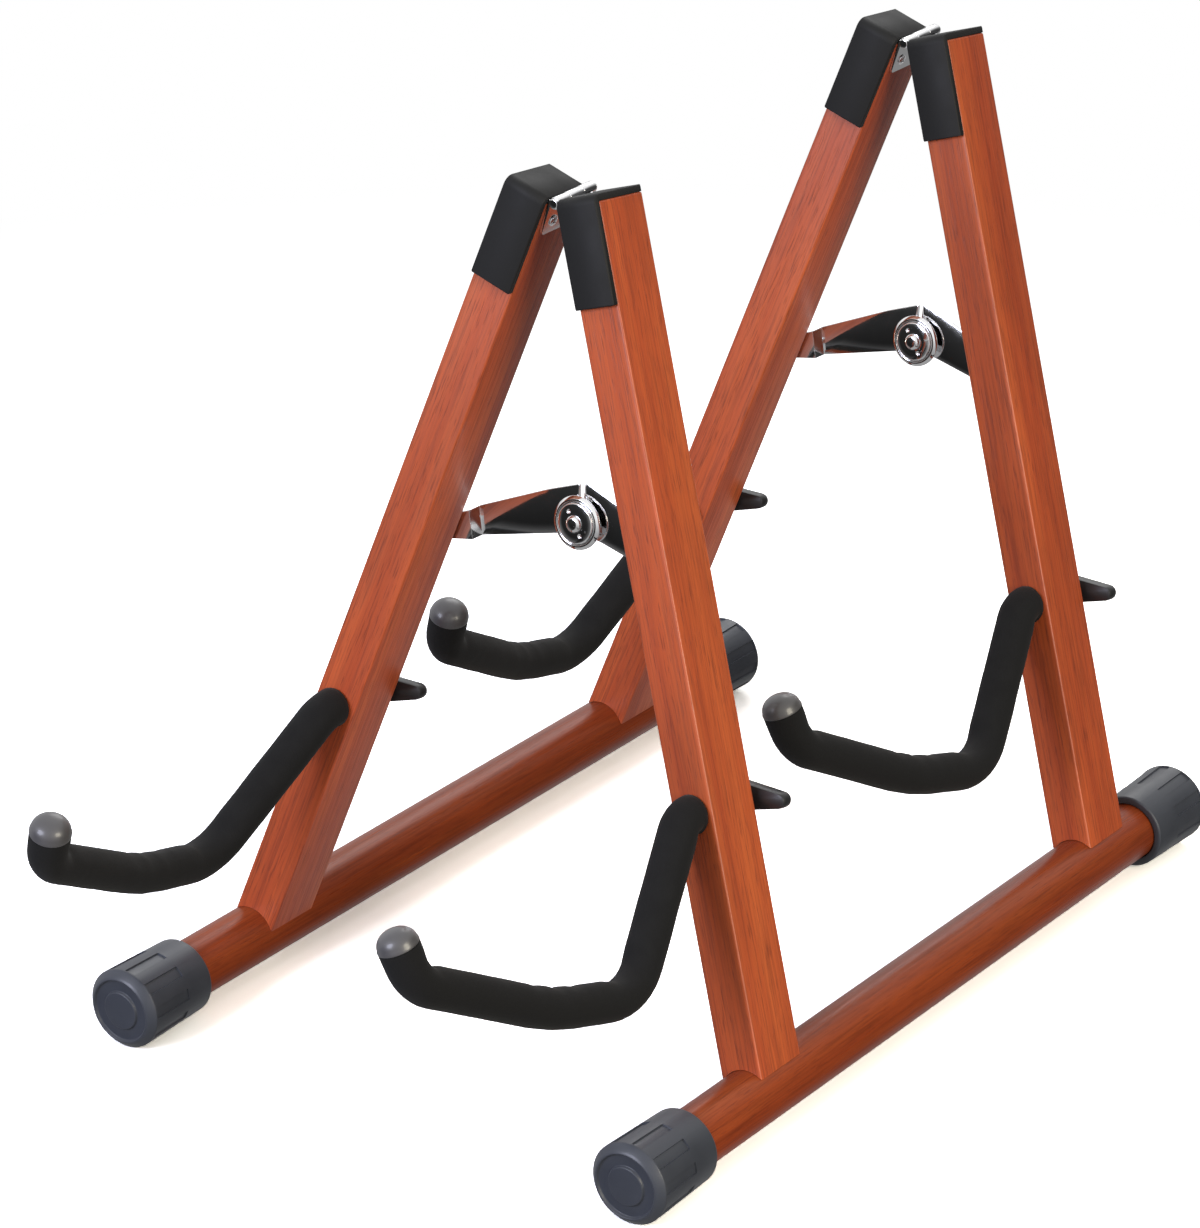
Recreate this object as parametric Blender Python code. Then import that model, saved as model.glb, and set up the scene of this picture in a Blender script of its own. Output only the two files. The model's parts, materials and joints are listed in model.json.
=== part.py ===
"""A folding wooden stand for two guitars: two leaning side frames hinged together at the top.

Each side frame is a round rail with two square posts. A post carries a foam-covered hook, held by a
wing nut at the back, and a pad over its top end. Two folding stays lock the frames apart.
Metres, +Z up, -Y is the front. Every piece is its own object.
"""

import math

import bmesh
import bpy
from mathutils import Vector

MM = 0.001
GAP = 0.3  # between pieces that touch

# Side frames
RAIL_SPACING = 320.0  # between the two rail axes
RAIL_RADIUS = 16.0
RAIL_HEIGHT = 22.0  # the rail's axis above the ground
RAIL_FRONT = -118.0
RAIL_REAR = {"left": 440.0, "right": 410.0}
POST_SPACING = 325.0  # from the front pair to the rear pair
POST_HALF_WIDTH = 12.4
POST_HALF_DEPTH = 17.7
POST_LENGTH = 455.5  # from the rail's axis to the top end
POST_CHAMFER = 0.8
SPLAY = math.radians(18.5)  # each frame leans towards the other
LEAN = math.radians(7.5)  # the posts lean back
FRONT_REAR_SHIFT = -101.734  # puts the middle of the whole stand on the origin

# End caps
CAP_RADIUS = 22.0
CAP_MOUTH_RADIUS = 20.6
CAP_LENGTH = 51.0
CAP_PANELS = 10
CAP_BORE = 16.9  # at its corners, so that its flats clear the rail

# Hinges
FOLD_AXIS_X = 0.0
FOLD_AXIS_Z = 449.0
KNUCKLE_RADIUS = 3.2
PIN_RADIUS = 1.6
LEAF_THICKNESS = 1.6
HINGE_LENGTH = 32.0
LEAF_DROP = 20.0
LEAF_SHOULDER = -4.2  # the plate's top edge beside a knuckle
HINGE_SCREW_DROP = 13.0
HINGE_SCREWS = (-9.0, 9.0)  # along the fold axis

# Pads over the tops of the posts
PAD_THICKNESS = 3.4
PAD_LENGTH = 52.0  # down the front face
PAD_BEND = 1.2  # inner radius at the top edge

# Hooks
HOOK_HEIGHT = 146.0  # along the post, from the rail's axis
ROD_RADIUS = 3.5
FOAM_RADIUS = 10.5
HOOK_CORNERS = (
    (9.0, 0.0, 14.0),
    (72.5, 75.5, 15.0),
    (135.0, 65.5, 120.0),
    (228.0, 28.0, 13.0),
)  # forward, down and bend radius of each corner of the hook's centre line
HOOK_TIP = (234.0, 9.0)
KNOB_DEPTH = 15.0
WING_HUB = 7.6  # radii of the nut's hub and of its wings' round ends
WING_TIP = 4.2
WING_REACH = 22.8  # from the nut's centre to the centre of a wing's end
WING_TILT = math.radians(8)

# Stays
STAY_HEIGHT = 248.5  # of the screw, along the post
ELBOW_Z = 272.6
STAY_THICKNESS = 2.0
STAY_LIFT = 1.7  # from the post's back face to the arm beside its screw
STAY_PLANES = {"left": 6.8, "right": 9.6}  # the same at the elbow, which clears the posts when folded
DISC_RADIUS = 14.5

SIDES = (("left", -1), ("right", 1))
PAIRS = (("front", 0.0), ("rear", POST_SPACING))


def material(name, colour, roughness, metallic):
    made = bpy.data.materials.new(name)
    made.use_nodes = True
    shader = made.node_tree.nodes["Principled BSDF"]
    shader.inputs["Base Color"].default_value = (*colour, 1.0)
    shader.inputs["Roughness"].default_value = roughness
    shader.inputs["Metallic"].default_value = metallic
    return made


def place(name, points, faces, look, origin=(0.0, 0.0, 0.0), smooth=0.0):
    """One closed object. The points are millimetres in the stand's frame, and the origin is its pivot."""
    centre = Vector(origin)
    mesh = bpy.data.meshes.new(name)
    mesh.from_pydata([(Vector(point) - centre) * MM for point in points], [], faces)
    shape = bmesh.new()
    shape.from_mesh(mesh)
    bmesh.ops.recalc_face_normals(shape, faces=shape.faces)
    shape.to_mesh(mesh)
    shape.free()
    if smooth:
        for polygon in mesh.polygons:
            polygon.use_smooth = True
        mesh.set_sharp_from_angle(angle=math.radians(smooth))
    if look:
        mesh.materials.append(material(name, *look))
    made = bpy.data.objects.new(name, mesh)
    made.location = centre * MM
    bpy.context.scene.collection.objects.link(made)
    return made


def cut(target, cutter):
    """Takes the cutter away from the target and hides the cutter."""
    cutter.hide_render = True
    cutter.display_type = "WIRE"
    modifier = target.modifiers.new("cut", "BOOLEAN")
    modifier.operation = "DIFFERENCE"
    modifier.solver = "EXACT"
    modifier.object = cutter


def rings_to_faces(rings, around, closed_ends=True, loop=False):
    """Quads between rings of points, where each ring holds the same number."""
    faces = []
    last = rings if loop else rings - 1
    for row in range(last):
        below = row * around
        above = ((row + 1) % rings) * around
        for i in range(around):
            j = (i + 1) % around
            faces.append((below + i, below + j, above + j, above + i))
    if closed_ends and not loop:
        faces.append(tuple(range(around))[::-1])
        faces.append(tuple((rings - 1) * around + i for i in range(around)))
    return faces


def across(axis):
    """Two unit directions square to the axis and to each other."""
    helper = Vector((1.0, 0.0, 0.0)) if abs(axis.x) < 0.7 else Vector((0.0, 0.0, 1.0))
    first = (helper - axis * helper.dot(axis)).normalized()
    return first, axis.cross(first)


def turned(centre, axis, profile, around):
    """Rings of a lathe profile of (distance along the axis, radius)."""
    first, second = across(axis)
    points = []
    for along, radius in profile:
        for i in range(around):
            angle = 2 * math.pi * (i + 0.5) / around
            side = first * math.cos(angle) + second * math.sin(angle)
            points.append(centre + axis * along + side * radius)
    return points


def solid_of_turning(centre, axis, profile, around):
    return turned(centre, axis, profile, around), rings_to_faces(len(profile), around)


def ring_of_turning(centre, axis, profile, around):
    """A turned piece with a hole through it: the profile is a closed loop."""
    faces = rings_to_faces(len(profile), around, loop=True)
    return turned(centre, axis, profile, around), faces


def joined(*parts):
    points = []
    faces = []
    for part_points, part_faces in parts:
        start = len(points)
        points += part_points
        faces += [tuple(start + i for i in face) for face in part_faces]
    return points, faces


class Post:
    """The frame of one post: up its length, back through its depth and out from the middle."""

    def __init__(self, side, distance):
        upward = Vector((-side * math.sin(SPLAY), 0.0, math.cos(SPLAY)))
        back = Vector((0.0, 1.0, 0.0))
        self.side = side
        self.upward = upward
        self.up = upward * math.cos(LEAN) + back * math.sin(LEAN)
        self.back = back * math.cos(LEAN) - upward * math.sin(LEAN)
        self.out = Vector((side * math.cos(SPLAY), 0.0, math.sin(SPLAY)))
        self.foot = Vector((side * RAIL_SPACING / 2, distance + FRONT_REAR_SHIFT, RAIL_HEIGHT))

    def at(self, out, back, up):
        return self.foot + self.out * out + self.back * back + self.up * up

    def above_rail(self, out, back, radius):
        """How far up the post a line at (out, back) leaves a cylinder round the rail's axis."""
        height = math.sqrt(radius * radius - out * out)
        return (height + back * math.sin(LEAN)) / math.cos(LEAN)


WOOD = ((0.42, 0.12, 0.06), 0.38, 0.0)
RUBBER = ((0.07, 0.075, 0.085), 0.6, 0.0)
FOAM = ((0.012, 0.012, 0.013), 0.9, 0.0)
PAD = ((0.025, 0.025, 0.027), 0.75, 0.0)
CHROME = ((0.78, 0.78, 0.79), 0.12, 1.0)
STEEL = ((0.5, 0.5, 0.51), 0.3, 1.0)
TIP = ((0.06, 0.062, 0.066), 0.35, 0.0)
KNOB = ((0.015, 0.015, 0.016), 0.4, 0.0)


def make_rail(name, side):
    centre = Vector((side * RAIL_SPACING / 2, FRONT_REAR_SHIFT, RAIL_HEIGHT))
    axis = Vector((0.0, 1.0, 0.0))
    profile = (
        (RAIL_FRONT, RAIL_RADIUS - 1.0),
        (RAIL_FRONT + 1.0, RAIL_RADIUS),
        (RAIL_REAR[name] - 1.0, RAIL_RADIUS),
        (RAIL_REAR[name], RAIL_RADIUS - 1.0),
    )
    rail = place(f"rail_{name}", *solid_of_turning(centre, axis, profile, 28), WOOD, smooth=35)
    holes = []
    for _, distance in PAIRS:
        post = Post(side, distance)
        screw = ((-22.0, 5.6), (-11.4, 5.6), (-11.4, 2.6), (22.0, 2.6))
        holes.append(solid_of_turning(post.foot, post.upward, screw, 14))
    cut(rail, place(f"rail_{name}_holes", *joined(*holes), None))


def make_rail_screw(name, post):
    profile = ((-15.2, 4.4), (-14.0, 5.2), (-11.8, 5.2), (-11.7, 2.3), (38.0, 2.3), (41.0, 0.6))
    points, faces = solid_of_turning(post.foot, post.upward, profile, 12)
    place(f"rail_screw_{name}", points, faces, STEEL, smooth=35)


def make_post(name, post):
    half, depth, edge = POST_HALF_WIDTH, POST_HALF_DEPTH, POST_CHAMFER
    radius = RAIL_RADIUS + GAP
    steps = 10
    inner = half - edge
    outs = [-inner + 2 * inner * i / steps for i in range(steps + 1)]
    front = [(out, -depth) for out in outs]
    rear = [(out, depth) for out in reversed(outs)]
    outline = front + [(half, -depth + edge), (half, depth - edge)]
    outline += rear + [(-half, depth - edge), (-half, -depth + edge)]
    bottom = [post.at(out, back, post.above_rail(out, back, radius)) for out, back in outline]
    under = [post.at(out, back, POST_LENGTH - edge) for out, back in outline]
    shrink = [(out * (1 - edge / half), back * (1 - edge / depth)) for out, back in outline]
    top = [post.at(out, back, POST_LENGTH) for out, back in shrink]
    around = len(outline)
    faces = rings_to_faces(3, around, closed_ends=False)
    faces.append(tuple(2 * around + i for i in range(around)))
    rear_start = steps + 3
    for i in range(steps):
        faces.append((i, i + 1, rear_start + steps - i - 1, rear_start + steps - i))
    faces.append((steps, steps + 1, steps + 2, steps + 3))
    faces.append((0, rear_start + steps, around - 2, around - 1))
    made = place(f"post_{name}", bottom + under + top, faces, WOOD)
    bolt = solid_of_turning(post.at(0, 0, HOOK_HEIGHT), post.back, ((-25.0, 3.9), (25.0, 3.9)), 16)
    screw = solid_of_turning(post.foot, post.upward, ((8.0, 2.6), (42.0, 2.6)), 14)
    stay = solid_of_turning(stay_pivot(post), post.back, ((-20.0, 2.2), (8.0, 2.2)), 14)
    hinge = [
        solid_of_turning(hinge_screw(post, along), post.out, ((-4.0, 1.4), (13.0, 1.4)), 12)
        for along in HINGE_SCREWS
    ]
    cut(made, place(f"post_{name}_holes", *joined(bolt, screw, stay, *hinge), None))


def stay_pivot(post):
    """Where the stay's screw enters the back face of the post."""
    return post.at(0.0, POST_HALF_DEPTH, STAY_HEIGHT)


def hinge_middle(post):
    """The point of the fold axis beside the top of the post."""
    top = post.at(0.0, 0.0, POST_LENGTH - 4.0)
    return Vector((FOLD_AXIS_X, top.y, FOLD_AXIS_Z))


def hinge_screw(post, along):
    """A screw's place on the post's inner face, along the fold axis from the hinge's middle."""
    middle = hinge_middle(post)
    face = post.foot - post.out * POST_HALF_WIDTH
    out = (face - middle).dot(post.out)
    return middle + post.out * out - post.upward * HINGE_SCREW_DROP + Vector((0.0, along, 0.0))


def make_pad(name, post):
    """A sheet folded over the top end of the post and down its front face."""
    half = POST_HALF_WIDTH - 0.2
    front = -POST_HALF_DEPTH - GAP
    top = POST_LENGTH + GAP
    low = top - PAD_LENGTH
    reach = PAD_THICKNESS + PAD_BEND
    path = [(front, low), (front, top), (POST_HALF_DEPTH, top), (POST_HALF_DEPTH, top + PAD_THICKNESS)]
    steps = 6
    for i in range(steps + 1):
        angle = math.pi / 2 * i / steps
        back = front + PAD_BEND - reach * math.sin(angle)
        path.append((back, top - PAD_BEND + reach * math.cos(angle)))
    path += [(front - PAD_THICKNESS, low + 0.5), (front - PAD_THICKNESS + 0.5, low)]
    points = [post.at(-half, back, up) for back, up in path]
    points += [post.at(half, back, up) for back, up in path]
    place(f"pad_{name}", points, rings_to_faces(2, len(path)), PAD)


def make_cap(name, side, mouth, forward):
    """A rubber cap on a rail's end: a smooth collar, then a grip of shallow panels and a ringed face."""
    centre = Vector((side * RAIL_SPACING / 2, mouth + FRONT_REAR_SHIFT, RAIL_HEIGHT))
    angles = []
    raised = []
    for panel in range(CAP_PANELS):
        start = 2 * math.pi * (panel + 0.5) / CAP_PANELS
        width = 2 * math.pi / CAP_PANELS
        for share, up in ((0.0, True), (0.18, True), (0.2, False), (0.98, False)):
            angles.append(start + share * width)
            raised.append(up)
    grow = (CAP_RADIUS - CAP_MOUTH_RADIUS) / (CAP_LENGTH - 5.0)
    rows = [
        (CAP_LENGTH - 5.5, CAP_BORE, 0.0),
        (0.0, CAP_BORE, 0.0),
        (0.0, CAP_MOUTH_RADIUS - 1.2, 0.0),
        (1.2, CAP_MOUTH_RADIUS, 0.0),
        (18.0, CAP_MOUTH_RADIUS + 18.0 * grow, 0.0),
        (18.1, CAP_MOUTH_RADIUS + 18.0 * grow, 1.0),
        (CAP_LENGTH - 5.1, CAP_RADIUS, 1.0),
        (CAP_LENGTH - 5.0, CAP_RADIUS, 0.0),
        (CAP_LENGTH - 1.6, CAP_RADIUS - 1.1, 0.0),
        (CAP_LENGTH, CAP_RADIUS - 3.6, 0.0),
        (CAP_LENGTH, 16.6, 0.0),
        (CAP_LENGTH - 1.3, 16.2, 0.0),
        (CAP_LENGTH - 1.3, 10.6, 0.0),
        (CAP_LENGTH, 10.2, 0.0),
    ]
    points = []
    for along, radius, sunk in rows:
        for angle, up in zip(angles, raised):
            reach = radius - (0.0 if up else sunk)
            x = reach * math.cos(angle)
            z = reach * math.sin(angle)
            points.append(centre + Vector((x, forward * along, z)))
    faces = rings_to_faces(len(rows), len(angles))
    place(f"end_cap_{name}", points, faces, RUBBER, smooth=28)


def leaf_outline(spans):
    """A leaf seen from the middle: (along the fold axis, up) points. It reaches the axis over each span."""
    half = HINGE_LENGTH / 2
    corner = 2.0
    outline = [(-half, corner - LEAF_DROP), (corner - half, -LEAF_DROP)]
    outline += [(half - corner, -LEAF_DROP), (half, corner - LEAF_DROP)]
    if spans[-1][1] < half:
        outline.append((half, LEAF_SHOULDER))
    for start, end in reversed(spans):
        if end < half:
            outline.append((end, LEAF_SHOULDER))
        outline += [(end, 0.4), (start, 0.4)]
        if start > -half:
            outline.append((start, LEAF_SHOULDER))
    if spans[0][0] > -half:
        outline.append((-half, LEAF_SHOULDER))
    return outline


def make_hinge_leaf(name, post, spans):
    """One leaf: a plate on the post's inner face, with a knuckle round the fold axis over each span."""
    middle = hinge_middle(post)
    along = Vector((0.0, 1.0, 0.0))
    face = post.foot - post.out * POST_HALF_WIDTH
    outer = (face - middle).dot(post.out) - GAP
    half = HINGE_LENGTH / 2
    outline = leaf_outline(spans)
    points = []
    for reach in (outer - LEAF_THICKNESS, outer):
        points += [middle + along * a + post.upward * b + post.out * reach for a, b in outline]
    faces = rings_to_faces(2, len(outline))
    leaf = place(f"hinge_leaf_{name}", points, faces, CHROME, origin=middle, smooth=35)
    bore = PIN_RADIUS + GAP
    for number, (start, end) in enumerate(spans):
        profile = ((start, KNUCKLE_RADIUS), (end, KNUCKLE_RADIUS), (end, bore), (start, bore))
        points, faces = ring_of_turning(middle, along, profile, 16)
        knuckle = place(f"hinge_leaf_{name}_knuckle_{number}", points, faces, None)
        knuckle.hide_render = True
        knuckle.display_type = "WIRE"
        union = leaf.modifiers.new("knuckle", "BOOLEAN")
        union.operation = "UNION"
        union.solver = "EXACT"
        union.object = knuckle
    bores = [solid_of_turning(middle, along, ((-half - 3, bore), (half + 3, bore)), 16)]
    for offset in HINGE_SCREWS:
        start = hinge_screw(post, offset)
        bores.append(solid_of_turning(start, post.out, ((-5.0, 1.9), (1.0, 1.9)), 14))
    cut(leaf, place(f"hinge_leaf_{name}_holes", *joined(*bores), None))


def make_hinge(name, distance):
    left = Post(-1, distance)
    right = Post(1, distance)
    half = HINGE_LENGTH / 2
    third = half / 3 + 0.6
    make_hinge_leaf(f"{name}_left", left, [(-half, -third), (third, half)])
    make_hinge_leaf(f"{name}_right", right, [(-third + GAP, third - GAP)])
    middle = hinge_middle(left)
    axis = Vector((0.0, 1.0, 0.0))
    profile = (
        (-half - 1.2, 1.2),
        (-half - 0.9, 2.5),
        (-half - GAP, 2.7),
        (-half - GAP, PIN_RADIUS),
        (half + GAP, PIN_RADIUS),
        (half + GAP, 2.7),
        (half + 0.9, 2.5),
        (half + 1.2, 1.2),
    )
    points, faces = solid_of_turning(middle, axis, profile, 14)
    place(f"hinge_pin_{name}", points, faces, CHROME, origin=middle, smooth=35)
    for side_name, post in (("left", left), ("right", right)):
        for number, along in enumerate(HINGE_SCREWS, 1):
            head = -GAP - LEAF_THICKNESS - GAP
            profile = (
                (head - 1.1, 1.2),
                (head - 0.5, 2.6),
                (head, 3.0),
                (head, 1.1),
                (11.5, 0.9),
            )
            points, faces = solid_of_turning(hinge_screw(post, along), post.out, profile, 12)
            place(f"hinge_screw_{name}_{side_name}_{number}", points, faces, CHROME, smooth=40)


def hook_path():
    """The hook's centre line as (forward, down) points, with each corner rounded."""
    corners = [(0.0, 0.0, 0.0), *HOOK_CORNERS, (*HOOK_TIP, 0.0)]
    path = [Vector((0.0, 0.0))]
    for before, corner, after in zip(corners, corners[1:], corners[2:]):
        here = Vector(corner[:2])
        back = (Vector(before[:2]) - here).normalized()
        ahead = (Vector(after[:2]) - here).normalized()
        opening = back.angle(ahead)
        trim = corner[2] / math.tan(opening / 2)
        middle = here + (back + ahead).normalized() * corner[2] / math.sin(opening / 2)
        start = here + back * trim - middle
        end = here + ahead * trim - middle
        turn = start.angle_signed(end)
        steps = max(3, round(abs(turn) / math.radians(20)))
        for i in range(steps + 1):
            angle = -turn * i / steps
            cosine, sine = math.cos(angle), math.sin(angle)
            spun = Vector((start.x * cosine - start.y * sine, start.x * sine + start.y * cosine))
            path.append(middle + spun)
    path.append(Vector(HOOK_TIP))
    return path


def hook_rings(post, path, radius, around):
    """Rings of a round bar along a path of (forward, down) points from the post's front face."""
    start = post.at(0.0, -POST_HALF_DEPTH, HOOK_HEIGHT)
    points = []
    for i, here in enumerate(path):
        before = path[max(i - 1, 0)]
        after = path[min(i + 1, len(path) - 1)]
        into = (here - before).normalized() if i else (after - here).normalized()
        away = (after - here).normalized() if i < len(path) - 1 else into
        along = (into + away).normalized()
        stretch = 1.0 / max(along.dot(into), 0.5)
        square = Vector((-along.y, along.x)) * stretch
        for k in range(around):
            angle = 2 * math.pi * k / around
            flat = here + square * radius * math.cos(angle)
            side = post.out * radius * math.sin(angle)
            points.append(start - post.back * flat.x - post.up * flat.y + side)
    return points


def make_hook(name, post):
    path = hook_path()
    pivot = post.at(0.0, -POST_HALF_DEPTH, HOOK_HEIGHT)
    tail = Vector((-2 * POST_HALF_DEPTH - 11.5, 0.0))
    ahead = (path[-1] - path[-2]).normalized()
    rod_path = [tail, Vector((-0.5, 0.0)), *path[1:-1], path[-1] - ahead * GAP]
    points = hook_rings(post, rod_path, ROD_RADIUS, 8)
    faces = rings_to_faces(len(rod_path), 8)
    place(f"hook_rod_{name}", points, faces, STEEL, origin=pivot, smooth=50)
    around = 12
    foam_path = [Vector((GAP, 0.0)), *path[1:]]
    outside = hook_rings(post, foam_path, FOAM_RADIUS, around)
    inside = hook_rings(post, foam_path[::-1], ROD_RADIUS + GAP, around)
    turned_back = []
    for row in range(len(foam_path)):
        ring = inside[row * around : (row + 1) * around]
        turned_back += [ring[(around // 2 - k) % around] for k in range(around)]
    rings = 2 * len(foam_path)
    faces = rings_to_faces(rings, around, loop=True)
    place(f"hook_foam_{name}", outside + turned_back, faces, FOAM, origin=pivot, smooth=50)
    centre = pivot - post.back * HOOK_TIP[0] - post.up * HOOK_TIP[1]
    axis = (-post.back * ahead.x - post.up * ahead.y).normalized()
    profile = (
        (GAP, FOAM_RADIUS - 0.2),
        (2.2, FOAM_RADIUS + 0.2),
        (4.8, FOAM_RADIUS - 0.9),
        (7.2, FOAM_RADIUS - 3.2),
        (8.8, FOAM_RADIUS - 6.2),
        (9.4, 1.6),
    )
    points, faces = solid_of_turning(centre, axis, profile, 20)
    place(f"hook_tip_{name}", points, faces, TIP, origin=pivot, smooth=50)


def wing_outline(angle, shrink):
    """How far the wing nut's outline is from its centre: a round hub with two tapered, round-ended wings."""
    hub, tip = WING_HUB - shrink, WING_TIP - shrink
    off = abs(math.atan2(math.sin(angle), abs(math.cos(angle))))
    side = WING_REACH * math.sin(off)
    flank = math.pi / 2 - math.asin((hub - tip) / WING_REACH)
    best = hub if off >= flank else hub / math.cos(off - flank)
    if side < tip:
        best = min(best, WING_REACH * math.cos(off) + math.sqrt(tip * tip - side * side))
    return best


def make_wing_nut(name, post):
    """A nut with two wings, on the threaded end of the hook's rod."""
    pivot = post.at(0.0, POST_HALF_DEPTH, HOOK_HEIGHT)
    axis = post.back
    level = Vector((math.cos(WING_TILT), 0.0, math.sin(WING_TILT)))
    first = (level - axis * level.dot(axis)).normalized()
    second = axis.cross(first)
    quarter = [math.radians(a) for a in (0, 5, 9, 12, 17, 26, 45)]
    half = quarter + [math.pi / 2] + [math.pi - a for a in reversed(quarter)]
    angles = half + [-a for a in reversed(half[1:-1])]
    around = len(angles)
    bore = ROD_RADIUS + GAP
    rows = (
        (12.4, bore, None),
        (1.0, bore, None),
        (1.0, 6.4, None),
        (4.6, 7.0, None),
        (5.4, None, 1.4),
        (6.8, None, 0.1),
        (11.4, None, 0.1),
        (13.0, None, 1.6),
        (13.4, 5.4, None),
        (KNOB_DEPTH, 4.6, None),
    )  # along the rod, then a radius or how far inside the outline
    points = []
    for along, radius, shrink in rows:
        for angle in angles:
            reach = radius if shrink is None else wing_outline(angle, shrink)
            side = first * math.cos(angle) + second * math.sin(angle)
            points.append(pivot + axis * along + side * reach)
    faces = rings_to_faces(len(rows), around)
    place(f"wing_nut_{name}", points, faces, KNOB, origin=pivot, smooth=45)


def stay_elbow(post):
    """Where the two arms are riveted: midway between the frames, level with the posts' back faces."""
    pivot = stay_pivot(post)
    rise = ELBOW_Z - pivot.z
    back = (pivot.x * post.back.x - rise * post.back.z) / post.back.y
    return Vector((0.0, pivot.y + back, ELBOW_Z))


def elbow_axis(post):
    return Vector((0.0, post.back.y, post.back.z)).normalized()


def on_plane(x, z, through, normal, offset):
    """The point at (x, z) of the plane that is the offset along its normal from a point."""
    slope = (x - through.x) * normal.x + (z - through.z) * normal.z
    return Vector((x, through.y + (offset - slope) / normal.y, z))


def make_arm(name, post, plane):
    """A flat stay arm. It lies close to the post's back face, then steps back to its plane at the elbow."""
    pivot = stay_pivot(post)
    elbow = stay_elbow(post)
    axis = elbow_axis(post)
    length = abs(pivot.x)
    rise = elbow.z - pivot.z
    direction = Vector((length, rise)).normalized()
    square = Vector((-direction.y, direction.x))
    near_post = (
        (-6.2, -1.6, 2.4),
        (-4.6, -4.4, 4.8),
        (0.0, -6.2, 6.4),
        (14.0, -6.6, 6.9),
        (21.0, -7.0, 8.0),
    )  # along the arm from its screw, then its lower and its upper edge
    past_step = ((28.0, -7.2, 8.7), (60.0, -8.0, 13.2))
    flat = []
    for along, low, high in (*near_post, *past_step):
        for reach in (low, high):
            flat.append(direction * along + square * reach)
    flat += [Vector((length - 11.0, rise - 8.1)), Vector((length - 20.0, rise + 12.0))]
    flat += [Vector((length - 4.0, rise - 8.6)), Vector((length - 0.8, rise + 19.0))]
    flat += [Vector((length + 3.6, rise - 7.6)), Vector((length - 0.5, rise + 11.5))]
    flat += [Vector((length + 7.4, rise - 3.6)), Vector((length + 5.6, rise + 6.4))]
    flat += [Vector((length + 8.5, rise + 0.6)), Vector((length + 8.2, rise + 2.8))]
    solid = []
    for thickness in (0.0, STAY_THICKNESS):
        for i, point in enumerate(flat):
            x, z = pivot.x - post.side * point.x, pivot.z + point.y
            if i < 2 * len(near_post):
                solid.append(on_plane(x, z, pivot, post.back, STAY_LIFT + thickness))
            else:
                solid.append(on_plane(x, z, elbow, axis, plane + thickness))
    top = len(flat)
    faces = []
    for a in range(0, top - 2, 2):
        b, c, d = a + 1, a + 3, a + 2
        faces += [(a, b, c, d), (top + a, top + d, top + c, top + b)]
        faces += [(a, d, top + d, top + a), (b, top + b, top + c, c)]
    faces.append((0, top, top + 1, 1))
    faces.append((top - 2, top - 1, 2 * top - 1, 2 * top - 2))
    arm = place(f"stay_arm_{name}", solid, faces, CHROME, origin=pivot)
    screw_hole = solid_of_turning(pivot, post.back, ((-2.0, 2.6), (20.0, 2.6)), 14)
    rivet_hole = solid_of_turning(elbow, axis, ((-2.0, 3.0), (22.0, 3.0)), 16)
    cut(arm, place(f"stay_arm_{name}_holes", *joined(screw_hole, rivet_hole), None))


def make_stay_screw(name, post):
    """The screw that holds a stay arm, with a washer between the arm and the post."""
    outside = STAY_LIFT + STAY_THICKNESS + GAP
    profile = (
        (-16.0, 0.6),
        (-14.0, 1.9),
        (GAP, 1.9),
        (GAP, 4.6),
        (STAY_LIFT - GAP, 4.6),
        (STAY_LIFT - GAP, 2.3),
        (outside, 2.3),
        (outside, 5.0),
        (outside + 1.2, 4.6),
        (outside + 2.2, 2.6),
    )
    pivot = stay_pivot(post)
    points, faces = solid_of_turning(pivot, post.back, profile, 14)
    place(f"stay_screw_{name}", points, faces, CHROME, origin=pivot, smooth=40)


def make_elbow(name, post):
    """The domed disc on the left arm, and the rivet with its washer on the right arm.

    The rivet stops short of the left arm, so that the stay is open here and each arm swings freely.
    """
    elbow = stay_elbow(post)
    axis = elbow_axis(post)
    pivot = stay_pivot(post)
    face = STAY_PLANES["left"] - GAP
    disc = (
        (face, DISC_RADIUS - 0.6),
        (face - 0.7, DISC_RADIUS),
        (face - 1.5, DISC_RADIUS - 0.5),
        (face - 1.7, 12.2),
        (face - 1.2, 11.4),
        (face - 2.6, 10.6),
        (face - 3.6, 8.2),
        (face - 4.0, 4.4),
        (face - 4.6, 4.2),
        (face - 5.6, 2.8),
        (face - 5.9, 1.2),
    )
    points, faces = solid_of_turning(elbow, axis, disc, 24)
    place(f"stay_disc_{name}", points, faces, CHROME, origin=pivot, smooth=40)
    start = STAY_PLANES["right"]
    back = start + STAY_THICKNESS + GAP
    rivet = (
        (start, 2.7),
        (back, 2.7),
        (back, 11.0),
        (back + 1.2, 11.6),
        (back + 2.0, 11.0),
        (back + 2.2, 4.6),
        (back + 3.4, 3.6),
        (back + 3.9, 1.4),
    )
    right_pivot = Vector((-pivot.x, pivot.y, pivot.z))
    points, faces = solid_of_turning(elbow, axis, rivet, 20)
    place(f"stay_rivet_{name}", points, faces, CHROME, origin=right_pivot, smooth=40)


def make_stay(name, distance):
    for side_name, side in SIDES:
        post = Post(side, distance)
        make_arm(f"{name}_{side_name}", post, STAY_PLANES[side_name])
        make_stay_screw(f"{name}_{side_name}", post)
    make_elbow(name, Post(-1, distance))


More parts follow.
